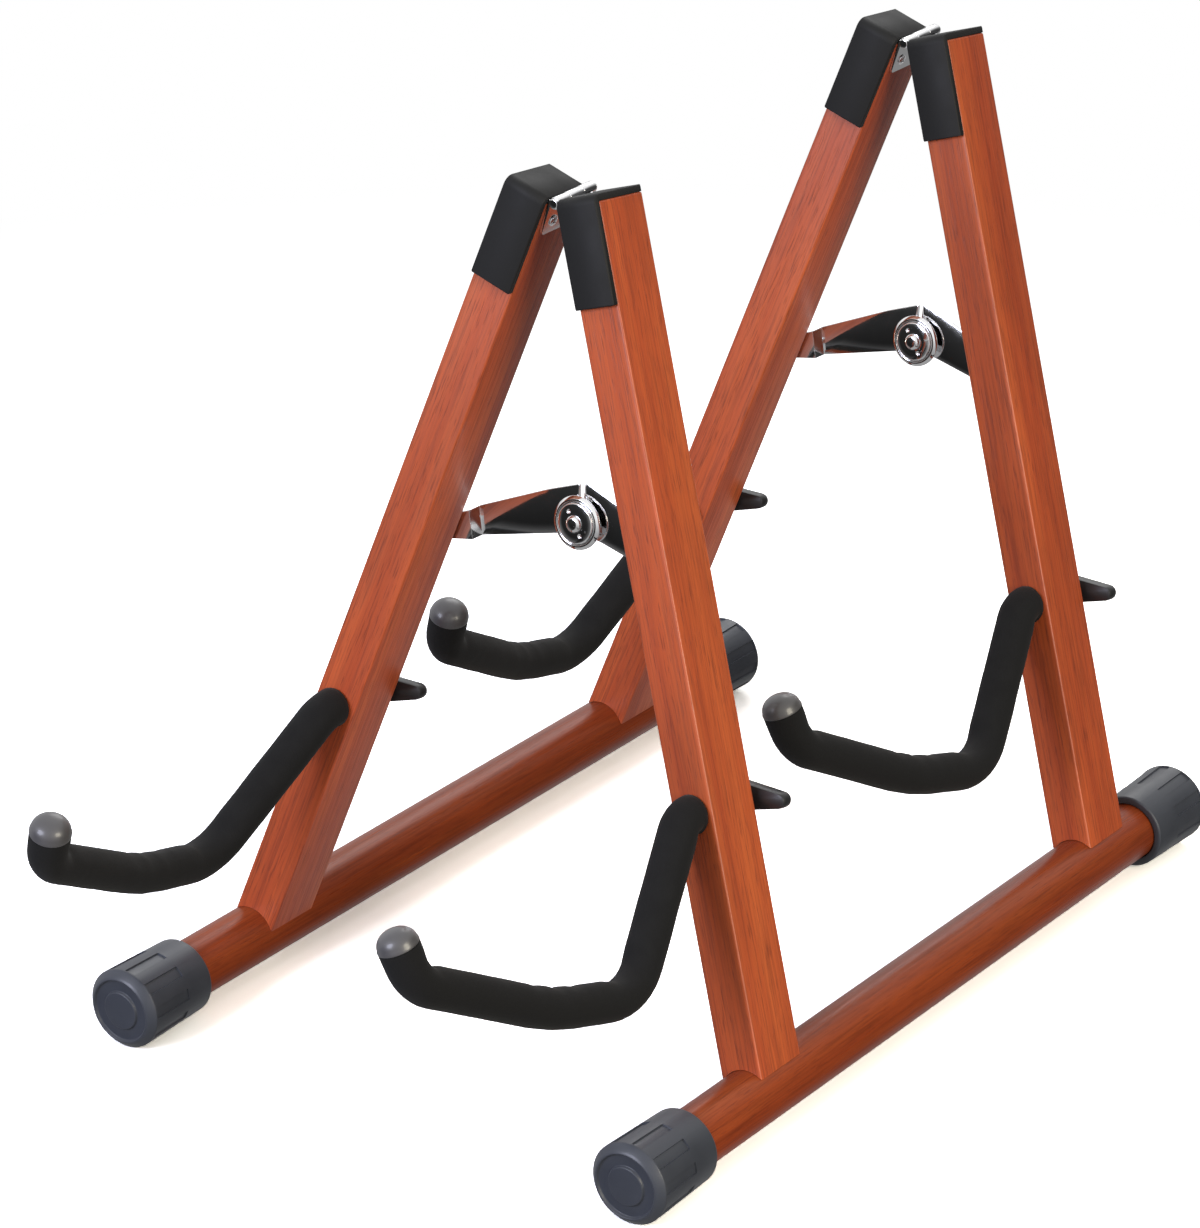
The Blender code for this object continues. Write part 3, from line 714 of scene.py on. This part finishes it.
def make_hook(post):
    """The hook's foam sleeve and its domed tip. The steel rod inside is the CAD node."""
    body = "hook_" + post.name
    matrix = post.turned(0, -HALF_DEPTH, HOOK_HEIGHT, post.up)
    line = hook_line()
    line[0] = Vector((0.15, 0.0))
    around = 40
    outer = sleeve_rings(line, FOAM_RADIUS, around, pinch=1.6)
    lip = []
    for share, reach in ((0.0, 0.86), (0.35, 0.95), (1.0, 1.0)):
        here = Vector((0.15 + 0.9 * share, 0.0))
        lip += sleeve_rings([here, here + Vector((1.0, 0.0))], FOAM_RADIUS * reach, around)[:1]
    past_lip = next(i for i, point in enumerate(line) if point.x > 1.5)
    bore = sleeve_rings(line, SLEEVE_BORE, around)
    rings = lip + outer[past_lip:] + bore[::-1]
    points = [point for ring in rings for point in ring]
    shape = (points, ring_faces(len(rings), around, loop=True))
    mesh = mesh_of("foam_sleeve_" + post.name, shape, smooth=55)
    made = show(
        "foam_sleeve_" + post.name, mesh, matrix, body, ["hook_foam_" + post.name], foam
    )
    ahead = (line[-1] - line[-2]).normalized()
    centre = post.at(0, -HALF_DEPTH - HOOK_TIP[0], HOOK_HEIGHT - HOOK_TIP[1])
    axis = -post.back * ahead.x - post.up * ahead.y
    dome = [
        (0.1, 0.3),
        (0.1, FOAM_RADIUS - 0.5),
        (0.5, FOAM_RADIUS + 0.1),
        (1.5, FOAM_RADIUS + 0.15),
    ]
    steps = 12
    for k in range(steps):
        angle = math.pi / 2 * (k + 0.6) / steps
        dome.append((1.7 + 7.8 * math.sin(angle), (FOAM_RADIUS - 0.15) * math.cos(angle) ** 0.86))
    dome.append((9.5, 0.2))
    tip = mesh_of("tip_dome_" + post.name, lathe(dome, 56), smooth=40)
    place = turned_frame(centre, axis, post.across)
    show("tip_dome_" + post.name, tip, place, body, ["hook_tip_" + post.name], tip_plastic)
    rod = frame["nodes"]["hook_rod_" + post.name]
    rod.data.materials.clear()
    rod.data.materials.append(steel)


# ---- wing nuts and screws


def wing_outline(angle, shrink):
    """How far a wing nut's outline is from its centre: a hub with two tapered, round-ended wings."""
    hub, tip = HUB_RADIUS - shrink, WING_TIP_RADIUS - shrink
    off = abs(math.atan2(math.sin(angle), abs(math.cos(angle))))
    side = WING_REACH * math.sin(off)
    flank = math.pi / 2 - math.asin((hub - tip) / WING_REACH)
    best = hub if off >= flank else hub / math.cos(off - flank)
    if side < tip:
        best = min(best, WING_REACH * math.cos(off) + math.sqrt(tip * tip - side * side))
    return best


def make_wing_nut(post):
    """A moulded nut: a round boss against the post, two thick wings, and a domed cap over the rod."""
    quarter = [math.radians(a) for a in (0, 3, 5.5, 8, 10, 11.5, 14, 18, 24, 32, 44, 58, 74)]
    half = quarter + [math.pi / 2] + [math.pi - a for a in reversed(quarter)]
    angles = half + [-a for a in reversed(half[1:-1])]
    bore = ROD_RADIUS + 0.2
    boss = ((12.4, 0.3), (12.4, bore), (0.6, bore), (0.6, 6.1), (1.2, 6.7), (4.4, 7.1))
    wings = ((5.3, 1.2), (5.7, 0.45), (6.5, 0.1), (9.0, 0.0), (11.6, 0.1), (12.5, 0.5), (13.0, 1.3))
    dome = ((13.3, 6.2), (14.2, 5.7), (14.8, 4.4), (15.0, 0.3))
    rows = [(along, [radius for angle in angles]) for along, radius in boss]
    rows += [(along, [wing_outline(angle, shrink) for angle in angles]) for along, shrink in wings]
    rows += [(along, [radius for angle in angles]) for along, radius in dome]
    points = []
    for along, reaches in rows:
        for angle, reach in zip(angles, reaches):
            points.append(Vector((reach * math.cos(angle), reach * math.sin(angle), along)))
    shape = (points, ring_faces(len(rows), len(angles)))
    mesh = mesh_of("nut_wings_" + post.name, shape, smooth=38)
    angle = math.radians(WING_TILT)
    tilt = Vector((math.cos(angle), 0.0, math.sin(angle)))
    matrix = turned_frame(post.at(0, HALF_DEPTH, HOOK_HEIGHT), post.back, tilt)
    name, node = "nut_wings_" + post.name, "wing_nut_" + post.name
    show(name, mesh, matrix, node, [node], nut_plastic)


def cross_screw(radius, rise, turn):
    """A screw's head about z, seen from +z, with a cross recess turned by an angle."""
    dome = [(0.0, 0.2), (0.0, radius - 0.2), (0.25, radius)]
    steps = 6
    for k in range(steps):
        angle = math.pi / 2 * (k + 1) / (steps + 1)
        dome.append((0.25 + (rise - 0.25) * math.sin(angle), radius * math.cos(angle)))
    dome.append((rise, 0.15))
    arm, width = radius * 0.62, radius * 0.2
    blades = []
    bar_outline = ((-arm, -width), (arm, -width), (arm, width), (-arm, width))
    for quarter_turn in (0.0, math.pi / 2):
        bar = slab(bar_outline, rise * 0.25, rise + 1.0)
        blades.append(moved(bar, Matrix.Rotation(turn + quarter_turn, 4, "Z")))
    return lathe(dome, 32), blades


def shank(length, radius):
    """A screw's plain shank, down from its head."""
    return lathe(((-length, 0.3), (-length + 2.0, radius), (0.2, radius)), 20)


def make_screw(name, matrix, body, node, radius, rise, length, turn, look):
    """A cross-head screw with its seat at the matrix's origin and its head along its z."""
    head, blades = cross_screw(radius, rise, turn)
    thread = shank(length, radius * 0.36)
    mesh = worked(name, head, blades, [thread], bevel=0.06, smooth=35)
    show(name, mesh, matrix, body, [node], look)


# ---- hinges


def leaf_outline(spans):
    """A leaf as (along the fold axis, up) points. It reaches up to the axis over each span."""
    half, corner, shoulder = HINGE_LENGTH / 2, 2.2, -4.2
    corners = [(-half, -LEAF_DROP, corner), (half, -LEAF_DROP, corner)]
    if spans[-1][1] < half:
        corners.append((half, shoulder, 0.6))
    for start, end in reversed(spans):
        if end < half:
            corners.append((end, shoulder, 0.0))
        corners += [(end, 0.4, 0.0), (start, 0.4, 0.0)]
        if start > -half:
            corners.append((start, shoulder, 0.0))
    if spans[0][0] > -half:
        corners.append((-half, shoulder, 0.6))
    return rounded(corners, 15.0, closed=True)


def make_hinge(pair):
    """Two leaves with rolled knuckles, their pin and their cross-head screws."""
    half = HINGE_LENGTH / 2
    third = half / 3 + 0.6
    pin_low, pin_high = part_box("hinge_pin_" + pair)
    middle = Vector((fold_axis.x, (pin_low.y + pin_high.y) / 2, fold_axis.z))
    along = Vector((0.0, 1.0, 0.0))
    spans = {"left": [(-half, -third), (third, half)], "right": [(-third + GAP, third - GAP)]}
    for side in SIDES:
        post = posts[f"{pair}_{side}"]
        upward = Vector((post.up.x, 0.0, post.up.z)).normalized()
        out = upward.cross(along) * post.side
        out = out if out.x * post.side > 0 else -out
        face = (post.at(-post.side * HALF_WIDTH, 0, POST_LENGTH) - middle).dot(out) / MM - GAP
        matrix = frame_of(middle, along, upward, along.cross(upward))
        inward = -1.0 if matrix.to_3x3().col[2].dot(out) > 0 else 1.0
        low, high = sorted((-inward * face, -inward * (face - LEAF_THICKNESS)))
        plate = slab(leaf_outline(spans[side]), low, high)
        to_axis = Matrix.Rotation(math.pi / 2, 4, "Y")
        bore = PIN_RADIUS + GAP
        rolls = []
        for start, end in spans[side]:
            knuckle = [
                (start, bore, 0.3),
                (start, KNUCKLE_RADIUS, 0.4),
                (end, KNUCKLE_RADIUS, 0.4),
                (end, bore, 0.3),
            ]
            rolls.append(moved(rounded_lathe(knuckle, 30.0, 32, loop=True), to_axis))
        drills = [moved(lathe(((-half - 3, bore), (half + 3, bore)), 32), to_axis)]
        for place in HINGE_SCREWS:
            hole = lathe(((-12.0, 1.9), (12.0, 1.9)), 24)
            drills.append(moved(hole, Matrix.Translation((place, -SCREW_DROP, 0.0))))
        name = f"hinge_plate_{pair}_{side}"
        mesh = worked(name, plate, drills, rolls, bevel=0.15, smooth=35)
        show(name, mesh, matrix, side + "_frame", [f"hinge_leaf_{pair}_{side}"], chrome)
        for number, place in enumerate(HINGE_SCREWS, 1):
            seat = middle + along * place * MM - upward * SCREW_DROP * MM
            seat += out * (face - LEAF_THICKNESS - 0.1) * MM
            make_screw(
                f"hinge_screw_head_{pair}_{side}_{number}",
                turned_frame(seat, -out, upward),
                side + "_frame",
                f"hinge_screw_{pair}_{side}_{number}",
                radius=3.1,
                rise=1.15,
                length=13.0,
                turn=0.5 + 0.9 * number + post.side,
                look=chrome,
            )
    head_radius, head_rise = 2.7, 1.3
    pin = [
        (-half - head_rise, 0.2, 0.0),
        (-half - head_rise, head_radius, 0.7),
        (-half - GAP, head_radius, 0.2),
        (-half - GAP, PIN_RADIUS, 0.0),
    ]
    pin += [(-x, y, r) for x, y, r in reversed(pin)]
    place = turned_frame(middle, along)
    mesh = mesh_of("pin_" + pair, rounded_lathe(pin, 22.0, 32), smooth=40)
    show("hinge_rivet_pin_" + pair, mesh, place, "left_frame", ["hinge_pin_" + pair], chrome)


# ---- stays


def stay_elbow(post):
    """A stay's screw, and the elbow where its two arms are riveted, midway between the frames."""
    pivot = joint_point("stay_fold_" + post.name)
    low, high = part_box("stay_rivet_" + post.pair)
    axis = Vector((0.0, post.back.y, post.back.z)).normalized()
    height = (low.z + high.z) / 2 - axis.z * RIVET_WASHER * MM
    back = (pivot.x * post.back.x - (height - pivot.z) * post.back.z) / post.back.y
    return pivot, Vector((0.0, pivot.y + back, height)), axis


def on_plane(x, z, through, normal, offset):
    """The point at x and z on the plane square to the normal, offset along it from the through point."""
    slope = (x - through.x) * normal.x + (z - through.z) * normal.z
    return Vector((x, through.y + (offset - slope) / normal.y, z))


def arm_outlines(length, rise):
    """The arm's outline past its step, from the step's lower edge round the elbow to its upper edge, and
    the outline by the post, from the upper edge round the screw to the lower one."""
    direction = Vector((length, rise)).normalized()
    square = Vector((-direction.y, direction.x))

    def spot(along, over, radius=0.0):
        point = direction * along + square * over
        return (point.x, point.y, radius)

    past = [
        spot(22.6, -7.1),
        (length - 10.0, rise - 8.7, 30.0),
        (length + 8.8, rise - 8.4, 8.4),
        (length + 8.3, rise + 4.0, 2.0),
        (length - 0.5, rise + 11.4, 3.0),
        (length - 0.8, rise + 19.2, 0.8),
        (length - 20.0, rise + 12.2, 60.0),
        spot(22.6, 8.2),
    ]
    near = [
        spot(21.8, 8.1),
        spot(10.0, 6.6, 20.0),
        spot(-6.6, 6.4, 5.6),
        spot(-6.4, -6.2, 5.6),
        spot(10.0, -6.4, 20.0),
        spot(21.8, -7.05),
    ]
    return rounded(past, 10.0), rounded(near, 10.0)


def make_stay(post):
    """One flat chromed arm with a step near its post, its screw, and what its elbow carries."""
    side = "left" if post.side < 0 else "right"
    body = "stay_" + post.name
    pivot, elbow, axis = stay_elbow(post)
    past, near = arm_outlines(abs(pivot.x) / MM, (elbow.z - pivot.z) / MM)
    matrix = turned_frame(pivot, post.back, post.across)
    inverse = matrix.inverted()
    points = []
    for thickness in (0.0, STAY_THICKNESS):
        for number, point in enumerate(past + near):
            x, z = pivot.x - post.side * point.x * MM, pivot.z + point.y * MM
            if number < len(past):
                world = on_plane(x, z, elbow, axis, (STAY_PLANES[side] + thickness) * MM)
            else:
                world = on_plane(x, z, pivot, post.back, (STAY_LIFT + thickness) * MM)
            points.append((inverse @ world) / MM)
    around = len(past) + len(near)
    split = len(past)
    faces = ring_faces(2, around, caps=False)
    for start in (0, around):
        faces.append(tuple(start + i for i in range(split)))
        faces.append(tuple(start + i for i in range(split, around)))
        faces.append((start, start + split - 1, start + split, start + around - 1))
    screw_hole = lathe(((-2.0, 2.5), (20.0, 2.5)), 28)
    elbow_hole = lathe(((-6.0, RIVET_HOLE), (22.0, RIVET_HOLE)), 28)
    place = inverse @ turned_frame(elbow, axis, post.across)
    place.translation = place.translation / MM
    drills = [screw_hole, moved(elbow_hole, place)]
    mesh = worked("stay_plate_" + post.name, (points, faces), drills, bevel=0.28, smooth=35)
    show("stay_plate_" + post.name, mesh, matrix, body, ["stay_arm_" + post.name], chrome)
    make_stay_screw(post, matrix)
    spot = turned_frame(elbow, axis, post.across)
    if side == "left":
        make_disc(post, spot, body)
    else:
        make_rivet(post, spot, body)


def make_stay_screw(post, matrix):
    """The screw of an arm, with a washer that keeps the arm off the post."""
    outside = STAY_LIFT + STAY_THICKNESS + 0.1
    washer_top, washer_radius = STAY_LIFT - 0.1, 4.8
    washer = [
        (0.2, 1.9, 0.0),
        (0.2, washer_radius, 0.2),
        (washer_top, washer_radius, 0.2),
        (washer_top, 2.3, 0.0),
    ]
    profile = [(-16.0, 0.5), (-14.0, 1.9)]
    profile += [tuple(point) for point in rounded(washer, 40.0)]
    profile.append((outside + 0.2, 2.3))
    stem = lathe(profile, 32)
    head, blades = cross_screw(5.0, 2.4, 0.7 * post.side)
    raised = Matrix.Translation((0.0, 0.0, outside))
    head = moved(head, raised)
    cuts = [moved(blade, raised) for blade in blades]
    name = "stay_screw_head_" + post.name
    mesh = worked(name, head, cuts, [stem], bevel=0.08, smooth=35)
    show(name, mesh, matrix, post.body, ["stay_screw_" + post.name], chrome)


def make_disc(post, spot, body):
    """The polished disc: a rolled rim, a nearly flat dome with two dimples, and a raised boss."""
    face = STAY_PLANES["left"] - 0.15
    corners = [
        (face, 3.0, 0.0),
        (face, DISC_RADIUS - 0.6, 0.3),
        (face - 0.7, DISC_RADIUS, 0.4),
        (face - 2.2, 12.7, 0.5),
        (face - 2.2, 11.8, 0.3),
        (face - 1.3, 11.2, 0.3),
        (face - 2.9, 10.6, 0.9),
        (face - 3.4, 7.0, 9.0),
        (face - 3.5, 3.0, 0.0),
    ]
    plate = rounded_lathe(corners, 15.0, 72)
    boss_corners = [
        (face - 3.2, 0.3, 0.0),
        (face - 3.2, 4.3, 0.0),
        (face - 4.6, 4.3, 0.4),
        (face - 5.6, 3.2, 1.4),
        (face - 5.9, 0.2, 0.0),
    ]
    boss = rounded_lathe(boss_corners, 15.0, 48)
    dimples = []
    for angle in (math.radians(38), math.radians(218)):
        ball = lathe(dimple_profile(1.7), 24)
        centre = (7.1 * math.cos(angle), 7.1 * math.sin(angle), face - 4.5)
        dimples.append(moved(ball, Matrix.Translation(centre)))
    name = "stay_disc_plate_" + post.pair
    mesh = worked(name, plate, dimples, [boss], bevel=0.05, smooth=32)
    show(name, mesh, spot, body, ["stay_disc_" + post.pair], chrome)


def dimple_profile(radius):
    """The profile of the ball that presses a dimple, with its poles left just open."""
    steps = 10
    angles = [math.pi * (k / steps - 0.5) * 0.98 for k in range(steps + 1)]
    return [(radius * math.sin(angle), radius * math.cos(angle)) for angle in angles]


def make_rivet(post, spot, body):
    """The rivet's shank in the right arm, its stacked washers and its clenched tail behind."""
    start = STAY_PLANES["right"]
    back = start + STAY_THICKNESS + 0.1
    corners = [
        (start, 0.3, 0.0),
        (start, 2.8, 0.0),
        (back, 2.8, 0.0),
        (back, 11.4, 0.3),
        (back + 0.9, 11.4, 0.3),
        (back + 0.9, 9.0, 0.0),
        (back + 1.0, 9.0, 0.0),
        (back + 1.0, 9.4, 0.2),
        (back + 1.9, 9.4, 0.3),
        (back + 2.0, 4.8, 0.3),
        (back + 3.6, 4.2, 1.3),
        (back + 3.9, 0.3, 0.0),
    ]
    mesh = mesh_of("rivet", rounded_lathe(corners, 18.0, 56), smooth=35)
    name = "stay_rivet_stack_" + post.pair
    show(name, mesh, spot, body, ["stay_rivet_" + post.pair], chrome)


# ---- the whole rack


for side_name in SIDES:
    make_rail(side_name)
    for pair_name in PAIRS:
        make_cap(pair_name, side_name)
for each in posts.values():
    make_post(each)
    make_pad(each)
    make_hook(each)
    make_wing_nut(each)
    make_stay(each)
    splayed_axis = Vector((each.up.x, 0.0, each.up.z)).normalized()
    under = each.foot - splayed_axis * RAIL_SCREW_SEAT * MM
    make_screw(
        "rail_screw_head_" + each.name,
        turned_frame(under, -splayed_axis),
        each.body,
        "rail_screw_" + each.name,
        radius=5.3,
        rise=2.6,
        length=50.0,
        turn=0.4 * each.side,
        look=steel,
    )
for pair_name in PAIRS:
    make_hinge(pair_name)


# ---- floor, light and camera


def seen_or_not(nodes, links, seen, otherwise):
    """One grey where the camera sees the surface directly, another for the light that it sends on."""
    path = nodes.new("ShaderNodeLightPath")
    mix = nodes.new("ShaderNodeMix")
    mix.data_type = "RGBA"
    links.new(path.outputs["Is Camera Ray"], mix.inputs[0])
    mix.inputs[6].default_value = (otherwise, otherwise, otherwise, 1.0)
    mix.inputs[7].default_value = (seen, seen, seen, 1.0)
    return mix.outputs[2]


def make_floor():
    """A pale floor that fades to white. It lights the stand little, and the metal does not show it."""
    half, drop = 8.0, -0.0004
    mesh = bpy.data.meshes.new("floor")
    corners = [(-half, -half, drop), (half, -half, drop), (half, half, drop), (-half, half, drop)]
    mesh.from_pydata(corners, [], [(0, 1, 2, 3)])
    look = bpy.data.materials.new("floor")
    look.use_nodes = True
    nodes, links = look.node_tree.nodes, look.node_tree.links
    nodes.clear()
    diffuse = nodes.new("ShaderNodeBsdfDiffuse")
    links.new(seen_or_not(nodes, links, FLOOR_SEEN, FLOOR_BOUNCE), diffuse.inputs["Color"])
    white = nodes.new("ShaderNodeEmission")
    links.new(seen_or_not(nodes, links, 1.0, FLOOR_BOUNCE), white.inputs["Color"])
    place = nodes.new("ShaderNodeTexCoord")
    distance = nodes.new("ShaderNodeVectorMath")
    distance.operation = "LENGTH"
    links.new(place.outputs["Object"], distance.inputs[0])
    fade = nodes.new("ShaderNodeMapRange")
    fade.interpolation_type = "SMOOTHSTEP"
    fade.inputs["From Min"].default_value = 0.5
    fade.inputs["From Max"].default_value = 1.3
    links.new(distance.outputs["Value"], fade.inputs["Value"])
    both = nodes.new("ShaderNodeMixShader")
    links.new(fade.outputs["Result"], both.inputs[0])
    links.new(diffuse.outputs[0], both.inputs[1])
    links.new(white.outputs[0], both.inputs[2])
    output = nodes.new("ShaderNodeOutputMaterial")
    links.new(both.outputs[0], output.inputs["Surface"])
    mesh.materials.append(look)
    floor = bpy.data.objects.new("floor", mesh)
    floor.visible_glossy = False
    bpy.context.scene.collection.objects.link(floor)


def make_light(name, place, size, power, colour=(1.0, 1.0, 1.0)):
    """A round soft light that faces the middle of the rack."""
    lamp = bpy.data.lights.new(name, "AREA")
    lamp.shape = "DISK"
    lamp.size = size
    lamp.energy = power
    lamp.color = colour
    made = bpy.data.objects.new(name, lamp)
    made.location = place
    made.rotation_euler = (Vector(LIT_POINT) - Vector(place)).to_track_quat("-Z", "Y").to_euler()
    bpy.context.scene.collection.objects.link(made)


def toward(nodes, links, direction, inner, outer, low, high):
    """A grey that goes from low to high as the way a ray leaves turns towards the direction."""
    place = nodes.new("ShaderNodeTexCoord")
    dot = nodes.new("ShaderNodeVectorMath")
    dot.operation = "DOT_PRODUCT"
    dot.inputs[1].default_value = Vector(direction).normalized()
    links.new(place.outputs["Generated"], dot.inputs[0])
    spread = nodes.new("ShaderNodeMapRange")
    spread.interpolation_type = "SMOOTHSTEP"
    spread.inputs["From Min"].default_value = math.cos(math.radians(outer))
    spread.inputs["From Max"].default_value = math.cos(math.radians(inner))
    spread.inputs["To Min"].default_value = low
    spread.inputs["To Max"].default_value = high
    links.new(dot.outputs["Value"], spread.inputs["Value"])
    return spread.outputs["Result"]


def make_world():
    """White to the camera, soft light from above, and dark patches for the metal to reflect."""
    world = bpy.data.worlds.new("studio")
    world.use_nodes = True
    nodes, links = world.node_tree.nodes, world.node_tree.links
    background = nodes["Background"]
    path = nodes.new("ShaderNodeLightPath")
    soft = toward(nodes, links, (0.25, -0.15, 1.0), 10.0, 105.0, SKY_LOW, SKY_HIGH)
    front_dark = toward(nodes, links, DARK_PATCH, 14.0, 34.0, 1.0, 0.03)
    side_dark = toward(nodes, links, DARK_SIDE, 20.0, 55.0, 1.0, 0.06)
    under = toward(nodes, links, (0.0, 0.0, 1.0), 60.0, 125.0, GLOSS_UNDER, GLOSS_SKY)
    patches = nodes.new("ShaderNodeMath")
    patches.operation = "MULTIPLY"
    links.new(front_dark, patches.inputs[0])
    links.new(side_dark, patches.inputs[1])
    shade = nodes.new("ShaderNodeMath")
    shade.operation = "MULTIPLY"
    links.new(patches.outputs[0], shade.inputs[0])
    links.new(under, shade.inputs[1])
    glossy = nodes.new("ShaderNodeMix")
    glossy.data_type = "FLOAT"
    links.new(path.outputs["Is Glossy Ray"], glossy.inputs[0])
    links.new(soft, glossy.inputs[2])
    links.new(shade.outputs[0], glossy.inputs[3])
    seen = nodes.new("ShaderNodeMix")
    seen.data_type = "FLOAT"
    seen.inputs[3].default_value = 1.0
    links.new(path.outputs["Is Camera Ray"], seen.inputs[0])
    links.new(glossy.outputs[0], seen.inputs[2])
    links.new(seen.outputs[0], background.inputs["Strength"])
    background.inputs["Color"].default_value = (1.0, 1.0, 1.0, 1.0)
    bpy.context.scene.world = world


def make_camera():
    """A long lens from the front right, a little above the rack."""
    eye = bpy.data.cameras.new("camera")
    eye.sensor_width = 36.0
    eye.lens = CAMERA_LENS
    eye.clip_end = 50.0
    made = bpy.data.objects.new("camera", eye)
    made.location = CAMERA_PLACE
    made.rotation_euler = (math.radians(CAMERA_PITCH), 0.0, math.radians(CAMERA_TURN))
    bpy.context.scene.collection.objects.link(made)
    bpy.context.scene.camera = made


make_floor()
make_world()
make_light("key", (2.3, -0.6, 1.0), size=1.2, power=41.0, colour=(1.0, 0.92, 0.74))
make_light("front", (-0.7, -2.6, 1.4), size=1.5, power=54.0, colour=(0.95, 0.98, 1.2))
make_light("back", (-0.9, 2.0, 1.9), size=1.4, power=14.0)
make_camera()
bpy.context.scene.view_settings.view_transform = "Standard"
